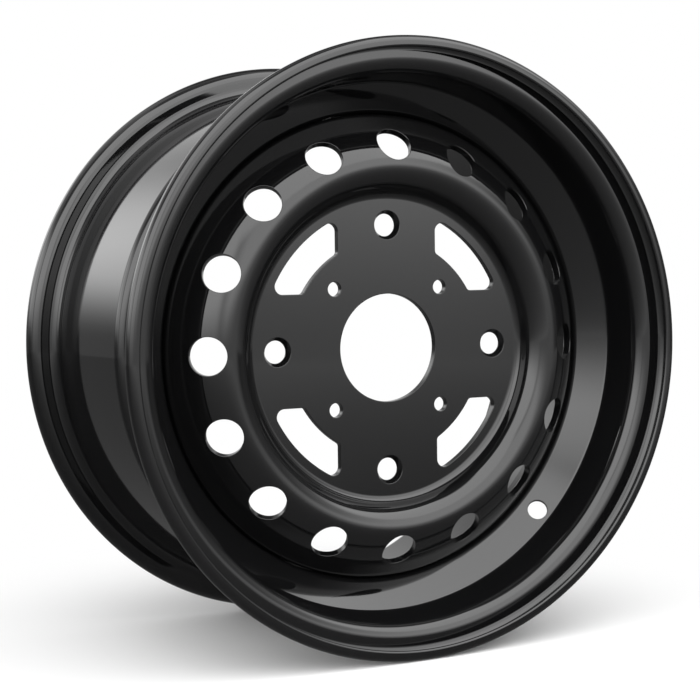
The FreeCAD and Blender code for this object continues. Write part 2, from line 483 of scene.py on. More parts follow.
@dataclass(frozen=True)
class DrilledHole:
    """Round hole, square to a sheet at a run of its section.

    The point of the hole's edge in a direction lies where its distance across the wheel's radius is the hole's
    radius times the sine and its distance up the run is the radius times the cosine. A few repeats, each longer
    by what is missing, settle its length along the section.
    """

    radius: float
    cell: float
    run: int
    centre_radius: float
    repeats: int = 24

    def centres(self, face: SheetSide, back: SheetSide, depth: float) -> tuple[float, float]:
        """Places of the hole's middle, which on the back lies one depth along the face's normal.

        Args:
            face: Face of the sheet.
            back: Back of the sheet.
            depth: Thickness of the sheet.

        Returns:
            Lengths along the face's and the back's lines.
        """
        centre = face.length_at(self.run, self.centre_radius)
        middle, heading = face.line.at(np.array(centre))
        return centre, back.length_at(self.run, middle[0] - np.sin(heading) * depth)

    def loop(self, surface: SheetSide, centre: float, growth: float, ways: Array) -> tuple[Array, Array]:
        """Lengths and angles of the hole's edge on a side of the sheet.

        Args:
            surface: Side of the sheet.
            centre: Length along its line at the hole's middle.
            growth: How far the edge lies outside the bare hole.
            ways: Directions from the hole's middle, in radians.

        Returns:
            Lengths along the line and angles round the axis.
        """
        size = self.radius + growth
        middle, heading = surface.line.at(np.array(centre))
        ahead = size * np.cos(ways)
        for _ in range(self.repeats):
            spots, _ = surface.line.at(centre + ahead)
            swing = np.arcsin(size * np.sin(ways) / spots[:, 0])
            out, along = spots[:, 0] * np.cos(swing) - middle[0], spots[:, 1] - middle[1]
            ahead = ahead + size * np.cos(ways) - out * np.cos(heading) - along * np.sin(heading)
        return centre + ahead, turn_of(self.cell) + swing

    def edge(self, face: SheetSide, back: SheetSide, place: Field, wall: HoleWall) -> HoleEdge:
        """Outline of the hole, its samples in the directions of the border's samples.

        A sample's way outwards is the cosine of its direction uphill plus the sine of it sideways.

        Args:
            face: Face of the sheet.
            back: Back of the sheet.
            place: Rectangle of the face that holds the hole.
            wall: Wall of the hole.

        Returns:
            The outline on both sides.
        """
        centre, back_centre = self.centres(face, back, wall.depth)
        middle, heading = face.line.at(np.array(centre))
        turn = turn_of(self.cell)
        lengths, turns = place.border()
        ways = np.arctan2((turns - turn) * middle[0], lengths - centre)
        uphill = np.array([np.cos(heading) * np.cos(turn), np.sin(heading), np.cos(heading) * np.sin(turn)])
        sideways = np.array([-np.sin(turn), 0, np.cos(turn)])
        return HoleEdge(
            face.lift(*self.loop(face, centre, 0, ways))[0],
            back.lift(*self.loop(back, back_centre, 0, ways))[0],
            self.loop(face, centre, wall.face_growth, ways),
            self.loop(back, back_centre, wall.back_growth, ways),
            np.cos(ways)[:, None] * uphill + np.sin(ways)[:, None] * sideways,
        )


@dataclass(frozen=True)
class ArchedWindow:
    """Window of the flat hub face between two arcs, with ends beside the lug lands and rounded corners.

    Its outline is four sides, each from the middle of one corner to the middle of the next. Samples are spread
    evenly over the outline's length plus a weight times its turn, so they lie closer in the corners.
    """

    inner: float
    outer: float
    land: float
    inner_corner: float
    outer_corner: float
    quarter: int
    corner_weight: float = 6 * MM
    dense: int = 400

    def half_outline(self) -> tuple[Array, Array]:
        """Dense points and outward normals from the inner arc's middle to the outer arc's middle.

        Returns:
            Points of the inner arc, its corner, the straight end, the outer corner and the outer arc, and normals.
        """
        inner_hub = self.corner_hub(self.inner + self.inner_corner, self.inner_corner)
        outer_hub = self.corner_hub(self.outer - self.outer_corner, self.outer_corner)
        inner_lean, outer_lean = np.arctan2(inner_hub[1], inner_hub[0]), np.arctan2(outer_hub[1], outer_hub[0])
        ends = [(np.pi / 4, inner_lean), (np.pi + inner_lean, np.pi), (np.pi, np.pi), (np.pi, outer_lean),
                (outer_lean, np.pi / 4)]
        ways = [np.linspace(first, last, self.dense) for first, last in ends]
        rays = [stack(np.cos(way), np.sin(way)) for way in ways]
        straight = stack(np.full(self.dense, self.land), np.linspace(inner_hub[1], outer_hub[1], self.dense))
        points = [self.inner * rays[0], inner_hub + self.inner_corner * rays[1], straight,
                  outer_hub + self.outer_corner * rays[3], self.outer * rays[4]]
        return np.concatenate(points), np.concatenate([-rays[0]] + rays[1:])

    def corner_hub(self, reach: float, corner: float) -> Array:
        """Middle of a corner's arc, at a reach from the axis and a corner's radius from the straight end."""
        across = self.land + corner
        return np.array([across, np.sqrt(reach ** 2 - across ** 2)])

    def outline(self, place: Field) -> tuple[Array, Array]:
        """Outline as its half and the half's mirror, with one sample for each of the border's.

        Args:
            place: Rectangle that holds the window.

        Returns:
            Points and outward normals in the hub face's plane.
        """
        points, normals = self.half_outline()
        points = np.concatenate([points, points[::-1, ::-1]])
        normals = np.concatenate([normals, normals[::-1, ::-1]])
        steps = np.linalg.norm(np.diff(points, axis=0), axis=1)
        turns = np.linalg.norm(np.diff(normals, axis=0), axis=1)
        measure = np.concatenate([[0], np.cumsum(steps + self.corner_weight * turns)])
        # The two corners are the second and the fourth of the half outline's five stretches.
        total, inner, outer = measure[-1], measure[self.dense * 3 // 2], measure[self.dense * 7 // 2]
        stops = [(-inner, inner), (inner, outer), (outer, total - outer), (total - outer, total - inner)]
        cells = [place.cells_round, place.cells_along] * 2
        spread = [np.linspace(first, last, count, endpoint=False) for (first, last), count in zip(stops, cells)]
        wanted = np.concatenate(spread) % total
        chosen = [stack(np.interp(wanted, measure, table[:, 0]), np.interp(wanted, measure, table[:, 1]))
                  for table in (points, normals)]
        return chosen[0], unit(chosen[1])

    def edge(self, face: SheetSide, back: SheetSide, place: Field, wall: HoleWall) -> HoleEdge:
        """Outline of the window on the two sides, turned to its quarter of the hub face.

        Args:
            face: Face of the sheet.
            back: Back of the sheet.
            place: Rectangle of the face that holds the window.
            wall: Wall of the window.

        Returns:
            The outline on both sides.
        """
        points, normals = self.outline(place)
        turn = self.quarter * np.pi / 2

        def loop(surface: SheetSide, growth: float) -> tuple[Array, Array]:
            """Outline moved outwards by a growth.

            Args:
                surface: Side of the sheet.
                growth: How far the outline is moved.

            Returns:
                Lengths along the side's line and angles round the axis.
            """
            spots = points + normals * growth
            radius = np.hypot(spots[:, 0], spots[:, 1])
            return surface.length_at(0, radius), turn + np.arctan2(spots[:, 1], spots[:, 0])

        lean = turn + np.arctan2(normals[:, 1], normals[:, 0])
        outward = stack(np.cos(lean), np.zeros_like(lean), np.sin(lean))
        return HoleEdge(face.lift(*loop(face, 0))[0], back.lift(*loop(back, 0))[0],
                        loop(face, wall.face_growth), loop(back, wall.back_growth), outward)


@dataclass(frozen=True)
class HoleCutter:
    """Sets a hole with its wall into the rectangle of each side that holds it."""

    wall: HoleWall
    spread: tuple[float, ...] = (0, 0.08, 0.2, 0.4, 0.65, 0.85, 1)

    def frame(self, skin: Skin, surface: SheetSide, place: Field, loop: tuple[Array, Array]) -> None:
        """Adds the side round the hole: shares of the way from the hole's edge to the border.

        Args:
            skin: Skin that the surface goes to.
            surface: Side of the sheet.
            place: Rectangle of the side that holds the hole.
            loop: Lengths and angles of the hole's edge.
        """
        shares = np.array(self.spread)[:, None]
        along, around = [closed(near) + shares * (closed(far) - closed(near))
                         for near, far in zip(loop, place.border())]
        skin.add(*surface.lift(along, around))

    def lining(self, skin: Skin, edge: HoleEdge, face: SheetSide, back: SheetSide) -> None:
        """Adds the wall: its section's depth runs from the face to the back, its distance goes outwards.

        Args:
            skin: Skin that the wall goes to.
            edge: Outline of the hole.
            face: Face of the sheet.
            back: Back of the sheet.
        """
        line = self.wall.line()
        section, ways = line.at(line.samples(line.ends[0], line.ends[-2], EDGE_STEP))
        face_points, back_points, outward = map(closed, (edge.face_points, edge.back_points, edge.outward))
        through = back_points - face_points
        out, down = section[:, 0, None, None], section[:, 1, None, None]
        points = face_points + through * (down / self.wall.depth) + outward * out
        points[0] = face.lift(*map(closed, edge.face_loop))[0]
        points[-1] = back.lift(*map(closed, edge.back_loop))[0]
        normals = unit(through) * np.cos(ways)[:, None, None] - outward * np.sin(ways)[:, None, None]
        skin.add(points, unit(normals))

    def cut(self, skin: Skin, hole: "DrilledHole | ArchedWindow", face: SheetSide, back: SheetSide,
            places: tuple[Field, Field]) -> None:
        """Adds both sides round a hole and the wall between them.

        Args:
            skin: Skin that the surfaces go to.
            hole: Hole to cut.
            face: Face of the sheet.
            back: Back of the sheet.
            places: Rectangles of the face and the back that hold the hole.
        """
        edge = hole.edge(face, back, places[0], self.wall)
        self.frame(skin, face, places[0], edge.face_loop)
        self.frame(skin, back, places[1], edge.back_loop)
        self.lining(skin, edge, face, back)


def mount_size(mount: str, size: str) -> float:
    """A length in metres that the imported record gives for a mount."""
    found = next(m for m in frame["record"]["mounts"] if m["name"] == mount)
    return found["dims"][size] * MM


def tangent(angle: float) -> float:
    """Tangent of an angle in degrees."""
    return float(np.tan(np.radians(angle)))


def cosine(angle: float) -> float:
    """Cosine of an angle in degrees."""
    return float(np.cos(np.radians(angle)))


@dataclass(frozen=True)
class RimBarrel:
    """Rolled rim: curled flanges, the front seat, the slope with its valve hole, the well and the rear ledge."""

    node: str = "rim_barrel"
    sheet: float = 2.5 * MM
    width: float = 152.4 * MM
    seat_radius: float = mount_size("front_bead_seat", "r_mm")
    seat_fillet: float = 6.0 * MM
    flange_wall: float = 2.8 * MM
    curl_back_bend: float = 4.9 * MM
    lip_flat: float = 0.4 * MM
    curl_front_bend: float = 1.7 * MM
    lip_reach: float = 5.2 * MM
    front_seat_width: float = mount_size("front_bead_seat", "length_mm")
    front_seat_taper: float = 5.0
    seat_bend: float = 3.5 * MM
    slope_angle: float = 52.0
    well_depth: float = 18.9 * MM
    well_width: float = 15.9 * MM
    well_bend: float = 4.0 * MM
    well_wall_angle: float = 75.0
    rear_ledge_taper: float = 2.0
    valve_radius: float = 141.0 * MM
    valve_hole: float = mount_size("valve_hole", "r_mm")
    valve_cell: int = -48
    valve_room: int = 6
    slope_run: int = 8
    slope_cells: int = 8
    well_end_corner: int = 6
    hole_edge: float = 0.35 * MM

    @property
    def half(self) -> float:
        """Half of the width between the flanges."""
        return self.width / 2

    @property
    def well_end(self) -> float:
        """Place along the axis where the well's flat ends."""
        return float(self.corners()[self.well_end_corner, 1])

    @property
    def well_bore(self) -> float:
        """Radius of the well on the wheel's side."""
        return self.seat_radius - self.well_depth - self.sheet

    def corners(self) -> Array:
        """Corners of the tyre side, from the front lip to the rear lip.

        The slope and the well's wall run as far along the axis as they drop over the tangent of their angles. The
        wall ends where it meets the rear ledge's taper.

        Returns:
            Radius and place along the axis, one corner a row.
        """
        flange = self.seat_radius + self.seat_fillet + self.flange_wall + self.curl_back_bend + self.sheet
        lip_face = self.half + self.curl_back_bend + self.lip_flat + self.curl_front_bend + 2 * self.sheet
        lip_end = flange - self.lip_reach
        seat_end = self.front_seat_width - self.half
        seat_end_radius = self.seat_radius - self.front_seat_width * tangent(self.front_seat_taper)
        well = self.seat_radius - self.well_depth
        well_start = seat_end + (seat_end_radius - well) / tangent(self.slope_angle)
        well_end = well_start + self.well_width
        lean = 1 / tangent(self.well_wall_angle)
        taper = tangent(self.rear_ledge_taper)
        wall = (self.well_depth - (self.half - well_end) * taper) / (1 - lean * taper)
        return np.array([
            (lip_end, -lip_face),
            (flange, -lip_face),
            (flange, -self.half),
            (self.seat_radius, -self.half),
            (seat_end_radius, seat_end),
            (well, well_start),
            (well, well_end),
            (well + wall, well_end + wall * lean),
            (self.seat_radius, self.half),
            (flange, self.half),
            (flange, lip_face),
            (lip_end, lip_face),
        ])

    def build(self) -> bpy.types.Object:
        """Makes the rim from its two sides, its two round lip ends and the valve hole's wall.

        Returns:
            The rim's object.
        """
        flange_bends = [self.curl_front_bend, self.curl_back_bend, self.seat_fillet]
        well_bends = [self.seat_bend, self.well_bend, self.well_bend, self.seat_bend]
        sheet = TurnedSheet(self.corners(), flange_bends + well_bends + flange_bends[::-1], self.sheet)
        face, back = sheet.sides()
        skin = Skin()
        first, last = self.valve_cell - self.valve_room, self.valve_cell + self.valve_room
        places = []
        for surface in (face, back):
            start, end = surface.line.run(self.slope_run)
            surface.strip(skin, surface.line.samples(0, start))
            surface.strip(skin, np.linspace(start, end, self.slope_cells + 1), last, first + CELLS_ROUND)
            surface.strip(skin, surface.line.samples(end, surface.line.ends[-1]))
            places.append(Field(start, end, first, last, self.slope_cells))
        face_radius = self.valve_radius + self.sheet * cosine(self.slope_angle)
        hole = DrilledHole(self.valve_hole, self.valve_cell, self.slope_run, face_radius)
        HoleCutter(HoleWall(self.sheet, self.hole_edge)).cut(skin, hole, face, back, tuple(places))
        for at_first in (True, False):
            sheet.end_strip(skin, at_first, self.sheet / 2, self.sheet / 2)
        return skin.to_object("rim_barrel_rolled")


@dataclass(frozen=True)
class WheelDisc:
    """Pressed disc: hub face with its holes and windows, dish, crest, brow, round vented shoulder and skirt."""

    rim: RimBarrel
    node: str = "wheel_disc"
    sheet: float = 4.0 * MM
    hub_face_depth: float = 29.6 * MM
    hub_face_radius: float = 82.8 * MM
    hub_face_fillet: float = 4.5 * MM
    dish_angle: float = 68.0
    crest_height: float = 14.2 * MM
    crest_bend: float = 10.0 * MM
    brow_angle: float = 21.5
    brow_flat: float = 0.3 * MM
    shoulder_bend: float = 35.3 * MM
    shoulder_angle: float = 50.0
    skirt_bend: float = 4.0 * MM
    skirt_setback: float = 6.1 * MM
    skirt_fit: float = 0.05 * MM
    bore: float = mount_size("hub_bore", "r_mm")
    lug_circle: float = mount_size("lug_holes", "pcd_mm")
    lug_hole: float = mount_size("lug_holes", "hole_r_mm")
    lug_seat: float = 1.8 * MM
    lug_seat_angle: float = 60.0
    small_circle: float = mount_size("small_holes", "pcd_mm")
    small_hole: float = mount_size("small_holes", "hole_r_mm")
    window_inner: float = 61.0 * MM
    window_outer: float = 78.5 * MM
    window_land: float = 31.0 * MM
    window_outer_corner: float = 4.5 * MM
    window_inner_corner: float = 2.5 * MM
    vent_count: int = 16
    vent_hole: float = 10.2 * MM
    vent_radius: float = 113.4 * MM
    vent_margin: float = 1.2 * MM
    hole_edge: float = 0.35 * MM
    ring_radius: float = 55.8 * MM
    quarters: int = 4
    lug_room: int = 16
    ring_cells: int = 12
    land_cells: int = 14
    flat_spread: tuple[float, ...] = (0, 0.3, 1)
    shoulder_run: int = 5

    @property
    def hub_face(self) -> float:
        """Place of the hub face along the axis."""
        return self.hub_face_depth - self.rim.half

    @property
    def skirt_end(self) -> float:
        """Place along the axis where the skirt ends."""
        return self.rim.well_end - self.skirt_setback

    def corners(self) -> Array:
        """Corners of the front, from the centre bore to the end of the skirt.

        The dish rises to the crest's corner, which stands above the crest's rounded top by its outer radius times
        this: the cosine of half the dish's and the brow's difference over the cosine of half their sum, less one.

        Returns:
            Radius and place along the axis, one corner a row.
        """
        skirt = self.rim.well_bore - self.skirt_fit
        dish_foot = self.hub_face_radius + self.hub_face_fillet * tangent(self.dish_angle / 2)
        lean, half_turn = (self.dish_angle - self.brow_angle) / 2, (self.dish_angle + self.brow_angle) / 2
        crest_round = self.crest_bend + self.sheet
        rise = self.crest_height + crest_round * (cosine(lean) / cosine(half_turn) - 1)
        crest = np.array([dish_foot + rise / tangent(self.dish_angle), self.hub_face - rise])
        shoulder_reach = (self.shoulder_bend + self.sheet) * tangent((self.shoulder_angle - self.brow_angle) / 2)
        brow = crest_round * tangent(half_turn) + self.brow_flat + shoulder_reach
        shoulder = crest + brow * cosine(self.brow_angle) * np.array([1, tangent(self.brow_angle)])
        skirt_start = shoulder[1] + (skirt - shoulder[0]) * tangent(self.shoulder_angle)
        return np.array([
            (self.bore, self.hub_face),
            (dish_foot, self.hub_face),
            crest,
            shoulder,
            (skirt, skirt_start),
            (skirt, self.skirt_end),
        ])

    def cut_hub_face(self, skin: Skin, face: SheetSide, back: SheetSide) -> None:
        """Adds the flat hub face: a ring with the small holes, and one with the lug holes and the windows.

        Args:
            skin: Skin that the surfaces go to.
            face: Face of the sheet.
            back: Back of the sheet.
        """
        quarter = CELLS_ROUND // self.quarters
        ring = self.ring_radius - self.bore
        rim = face.line.run(0)[1]
        plain = HoleCutter(HoleWall(self.sheet, self.hole_edge), self.flat_spread)
        seat_depth = self.lug_seat / tangent(self.lug_seat_angle / 2)
        seated = HoleCutter(HoleWall(self.sheet, self.hole_edge, self.lug_seat, seat_depth), self.flat_spread)
        for turn in range(self.quarters):
            start = turn * quarter
            small = DrilledHole(self.small_hole, start + quarter / 2, 0, self.small_circle / 2)
            lug = DrilledHole(self.lug_hole, start, 0, self.lug_circle / 2)
            window = ArchedWindow(self.window_inner, self.window_outer, self.window_land, self.window_inner_corner,
                                  self.window_outer_corner, turn)
            inner = Field(self.hole_edge, ring, start, start + quarter, self.ring_cells)
            land = Field(ring, rim, start - self.lug_room, start + self.lug_room, self.land_cells)
            bay = Field(ring, rim, start + self.lug_room, start + quarter - self.lug_room, self.land_cells)
            plain.cut(skin, small, face, back, (inner, inner))
            seated.cut(skin, lug, face, back, (land, land))
            plain.cut(skin, window, face, back, (bay, bay))

    def cut_vents(self, skin: Skin, face: SheetSide, back: SheetSide) -> tuple[Field, Field]:
        """Adds the shoulder with its round vents.

        Args:
            skin: Skin that the surfaces go to.
            face: Face of the sheet.
            back: Back of the sheet.

        Returns:
            The last vent's rectangles on the face and the back, which give the shoulder's two edges.
        """
        cutter = HoleCutter(HoleWall(self.sheet, self.hole_edge))
        room = CELLS_ROUND // self.vent_count
        reach = self.vent_hole + self.hole_edge + self.vent_margin
        places = ()
        for turn in range(self.vent_count):
            vent = DrilledHole(self.vent_hole, turn * room, self.shoulder_run, self.vent_radius)
            centres = vent.centres(face, back, self.sheet)
            places = tuple(
                Field(centre - reach, centre + reach, (turn - 0.5) * room, (turn + 0.5) * room, room)
                for centre in centres
            )
            cutter.cut(skin, vent, face, back, places)
        return places

    def build(self) -> bpy.types.Object:
        """Makes the disc from its two sides, its ends at the bore and the skirt, and its holes.

        Returns:
            The disc's object.
        """
        bends = [self.hub_face_fillet, self.crest_bend, self.shoulder_bend, self.skirt_bend]
        sheet = TurnedSheet(self.corners(), bends, self.sheet)
        face, back = sheet.sides()
        skin = Skin()
        self.cut_hub_face(skin, face, back)
        shoulders = self.cut_vents(skin, face, back)
        for surface, shoulder in zip((face, back), shoulders):
            line = surface.line
            surface.strip(skin, line.samples(line.run(0)[1], shoulder.first))
            surface.strip(skin, line.samples(shoulder.last, line.ends[-1] - self.hole_edge))
        for at_first in (True, False):
            sheet.end_strip(skin, at_first, 0, self.hole_edge)
        return skin.to_object("wheel_disc_pressed")


@dataclass(frozen=True)
class DiscWelds:
    """Weld stitches in the corner between the skirt's end and the well.

    The bead is the chord between its two toes plus a crown, scaled from the corner's root by a taper that closes
    the stitch's ends and by ripples bowed along the stitch.
    """

    disc: WheelDisc
    node: str = "disc_welds"
    count: int = 8
    span: float = 21.0
    leg: float = 3.0 * MM
    crown: float = 0.5 * MM
    ripple: float = 0.035
    ripples: int = 26
    bow: float = 0.6
    blunt: float = 14.0
    least_taper: float = 0.1
    cells_along: int = 156
    cells_across: int = 10

    @property
    def root(self) -> Array:
        """The corner between the skirt's end and the well, as radius and place along the axis."""
        return np.array([self.disc.rim.well_bore, self.disc.skirt_end])

    def bead(self, along: Array, across: Array, taper: Array) -> Array:
        """Points of the bead's section at shares along and across the stitch.

        Args:
            along: Shares from -1 to 1 along the stitch.
            across: Shares from 0 on the well to 1 on the skirt.
            taper: Size of the section, from 0 to 1.

        Returns:
            Radius and place along the axis.
        """
        well_toe, skirt_toe = np.array([0, self.leg]), np.array([-self.leg, 0])
        hump = 4 * across * (1 - across)
        lift = unit(np.array([-1.0, 1.0])) * self.crown
        chord = well_toe * (1 - across)[..., None] + skirt_toe * across[..., None] + lift * hump[..., None]
        wave = np.cos(np.pi * (self.ripples * along + self.bow * (2 * across - 1) ** 2))
        return self.root + chord * (taper * (1 + self.ripple * wave * hump))[..., None]

    def build(self) -> bpy.types.Object:
        """Makes all stitches as one object, each closed by its bead and its two legs.

        The bead's normals are the products of its two slopes, taken on a bead whose ends don't close, and turned
        to point away from the root.

        Returns:
            The stitches' object.
        """
        skin = Skin()
        along, across = np.meshgrid(np.linspace(-1, 1, self.cells_along + 1),
                                    np.linspace(0, 1, self.cells_across + 1), indexing="ij")
        taper = np.sqrt(1 - np.abs(along) ** self.blunt)
        section = self.bead(along, across, taper)
        broad = self.bead(along, across, np.maximum(taper, self.least_taper))
        root = np.broadcast_to(self.root, section.shape)
        # The leg on the well lies along the axis and the leg on the skirt lies along the radius.
        leg_ways = {0: np.pi / 2, -1: 0.0}
        for stitch in range(self.count):
            turns = 2 * np.pi * stitch / self.count + np.radians(self.span / 2) * along
            points, _ = carried_round(section, along * 0, 1, turns)
            solid, _ = carried_round(broad, along * 0, 1, turns)
            normals = unit(np.cross(np.gradient(solid, axis=0), np.gradient(solid, axis=1)))
            away = solid - carried_round(root, along * 0, 1, turns)[0]
            skin.add(points, normals * np.sign(np.sum(normals * away, axis=-1, keepdims=True)))
            for toe, way in leg_ways.items():
                leg = np.stack([root[:, toe], section[:, toe]], axis=1)
                skin.add(*carried_round(leg, np.full(leg.shape[:2], way), 1, turns[:, :2]))
        return skin.to_object("disc_weld_stitches")


@dataclass(frozen=True)
class NodeSet:
    """Node tree of a finish or of the set's light, with short ways to add its nodes and feed their inputs."""

    tree: bpy.types.NodeTree

    @classmethod
    def of(cls, owner: "bpy.types.Material | bpy.types.World") -> "NodeSet":
        """Node tree of a material or a world."""
        owner.use_nodes = True
        return cls(owner.node_tree)

    def feed(self, node: bpy.types.Node, inputs: Inputs) -> None:
        """Sets inputs of a node to values, or links them to the outputs that feed them.

        Args:
            node: Node whose inputs are fed.
            inputs: Value or output for each input.
        """
        for name, value in inputs.items():
            if isinstance(value, bpy.types.NodeSocket):
                self.tree.links.new(value, node.inputs[name])
            else:
                node.inputs[name].default_value = value

    def add(self, kind: str, inputs: Inputs | None = None, operation: str = "") -> bpy.types.Node:
        """Adds a node.

        Args:
            kind: Kind of node, without the words that all kinds begin with.
            inputs: Value or output for each input that doesn't stay as it is.
            operation: What a node for sums works out.

        Returns:
            The node.
        """
        node = self.tree.nodes.new("ShaderNode" + kind)
        if operation:
            node.operation = operation
        self.feed(node, inputs or {})
        return node

    def show(self, shader: bpy.types.Node, output: str = "Material Output") -> None:
        """Makes a shader what the surface or the world shows."""
        self.feed(self.tree.nodes[output], {"Surface": shader.outputs[0]})


@dataclass(frozen=True)
class GlossPaint:
    """Gloss black paint on steel, with a faint orange peel and faint clouds in its colour and gloss."""

    name: str = "gloss_black_paint"
    slot: str = "gloss_black"
    deep: tuple[float, float, float, float] = (0.0022, 0.0022, 0.0023, 1)
    light: tuple[float, float, float, float] = (0.0040, 0.0040, 0.0042, 1)
    gloss_range: tuple[float, float] = (0.035, 0.06)
    cloud_scale: float = 14.0
    peel_scale: float = 420.0
    peel_strength: float = 0.015
    peel_depth: float = 0.05 * MM
    clear_index: float = 1.5

    def material(self) -> bpy.types.Material:
        """Makes the node material, whose clouds and peel are noise on Object coordinates.

        Returns:
            The material.
        """
        paint = bpy.data.materials.new(self.name)
        nodes = NodeSet.of(paint)
        place = nodes.add("TexCoord").outputs["Object"]
        clouds = nodes.add("TexNoise", {"Vector": place, "Scale": self.cloud_scale}).outputs["Fac"]
        peel = nodes.add("TexNoise", {"Vector": place, "Scale": self.peel_scale}).outputs["Fac"]
        tint = nodes.add("ValToRGB", {"Fac": clouds})
        for stop, colour in zip(tint.color_ramp.elements, (self.deep, self.light)):
            stop.color = colour
        low, high = self.gloss_range
        gloss = nodes.add("MapRange", {"Value": clouds, "To Min": low, "To Max": high})
        bump = nodes.add("Bump", {"Height": peel, "Strength": self.peel_strength, "Distance": self.peel_depth})
        nodes.feed(nodes.tree.nodes["Principled BSDF"], {
            "Base Color": tint.outputs["Color"],
            "Roughness": gloss.outputs["Result"],
            "Normal": bump.outputs["Normal"],
            "IOR": self.clear_index,
        })
        return paint


def grid_object(name: str, points: Array) -> bpy.types.Object:
    """Makes an object of a plain grid of points, for the set.

    Args:
        name: Name of the object and its mesh.
        points: Grid of points.

    Returns:
        The object, linked to the scene, its vertices in the grid's order.
    """
    mesh = bpy.data.meshes.new(name)
    mesh.from_pydata(points.reshape(-1, 3).tolist(), [], cells_of(*points.shape[:2]).tolist())
    sheet = bpy.data.objects.new(name, mesh)
    bpy.context.scene.collection.objects.link(sheet)
    return sheet


@dataclass(frozen=True)
class Softbox:
    """A soft-edged field of a light tent, brighter or darker than the white set.

    Turns are counted from the front (-Y) towards the right (+X), heights from level, both in degrees.
    """

    turns: tuple[float, float]
    heights: tuple[float, float]
    glow: float
    soft_turns: tuple[float, float]
    soft_heights: tuple[float, float]

    @staticmethod
    def fade(values: Array, ends: tuple[float, float], soft: tuple[float, float]) -> Array:
        """Share of the glow that rises smoothly from one end and falls smoothly towards the other."""
        return smooth((values - ends[0]) / soft[0]) * smooth((ends[1] - values) / soft[1])

    def level(self, turns: Array, heights: Array) -> Array:
        """Glow at turns and heights: the white set's, and the field's by the product of its two fades.

        Args:
            turns: Turns, which are counted on from the field's middle both ways round.
            heights: Heights.

        Returns:
            Glow, in times that of the white set.
        """
        middle = sum(self.turns) / 2
        turns = middle + (turns - middle + 180) % 360 - 180
        share = self.fade(turns, self.turns, self.soft_turns) * self.fade(heights, self.heights, self.soft_heights)
        return 1 + (self.glow - 1) * share


@dataclass(frozen=True)
class LightTent:
    """Dome round the wheel whose glow is the brightest of its lights times all of its dark flags."""

    # Lights: high front, tall front left, low front right, left side and left rear.
    lights: tuple[Softbox, ...] = (
        Softbox((-76, 88), (20, 76), 4.6, (8, 22), (18, 5)),
        Softbox((-84, -18), (-6, 60), 4.6, (8, 18), (22, 10)),
        Softbox((-40, 85), (-4, 60), 3.8, (26, 60), (16, 10)),
        Softbox((-142, -80), (-2, 34), 3.8, (16, 10), (8, 12)),
        Softbox((-178, -134), (-2, 36), 2.7, (20, 14), (20, 14)),
    )
    # Flags: overhead, low right, the gap over the left side's light, low left and high right rear.
    flags: tuple[Softbox, ...] = (
        Softbox((-190, 190), (73, 120), 0.4, (5, 5), (6, 6)),
        Softbox((30, 150), (-30, 34), 0.2, (24, 30), (10, 24)),
        Softbox((-112, -70), (32, 66), 0.4, (10, 8), (8, 10)),
        Softbox((-190, -60), (-30, 12), 0.25, (5, 50), (10, 12)),
        Softbox((104, 200), (25, 78), 0.15, (24, 30), (8, 12)),
    )
    distance: float = 2.6
    turns: tuple[float, float] = (-180, 180)
    heights: tuple[float, float] = (-4, 90)
    cells: tuple[int, int] = (144, 60)

    def build(self) -> bpy.types.Object:
        """Makes the dome: its distance times the direction of each turn and height.

        Returns:
            The dome's object, with its glow as an attribute of its points.
        """
        turns, heights = np.meshgrid(np.linspace(*self.turns, self.cells[0] + 1),
                                     np.linspace(*self.heights, self.cells[1] + 1), indexing="ij")
        around, up = np.radians(turns), np.radians(heights)
        out = stack(np.cos(up) * np.sin(around), -np.cos(up) * np.cos(around), np.sin(up))
        glow = np.max([light.level(turns, heights) for light in self.lights], axis=0)
        glow = glow * np.prod([flag.level(turns, heights) for flag in self.flags], axis=0)
        dome = grid_object("light_tent", out * self.distance)
        dome.data.attributes.new("glow", "FLOAT", "POINT").data.foreach_set("value", glow.reshape(-1))
        dome.data.materials.append(self.material())
        return dome

    @staticmethod
    def material() -> bpy.types.Material:
        """Light as strong as the dome's glow.

        Returns:
            The material.
        """
        light = bpy.data.materials.new("light_tent")
        nodes = NodeSet.of(light)
        strength = nodes.add("Attribute")
        strength.attribute_name = "glow"
        nodes.show(nodes.add("Emission", {"Strength": strength.outputs["Fac"]}))
        return light


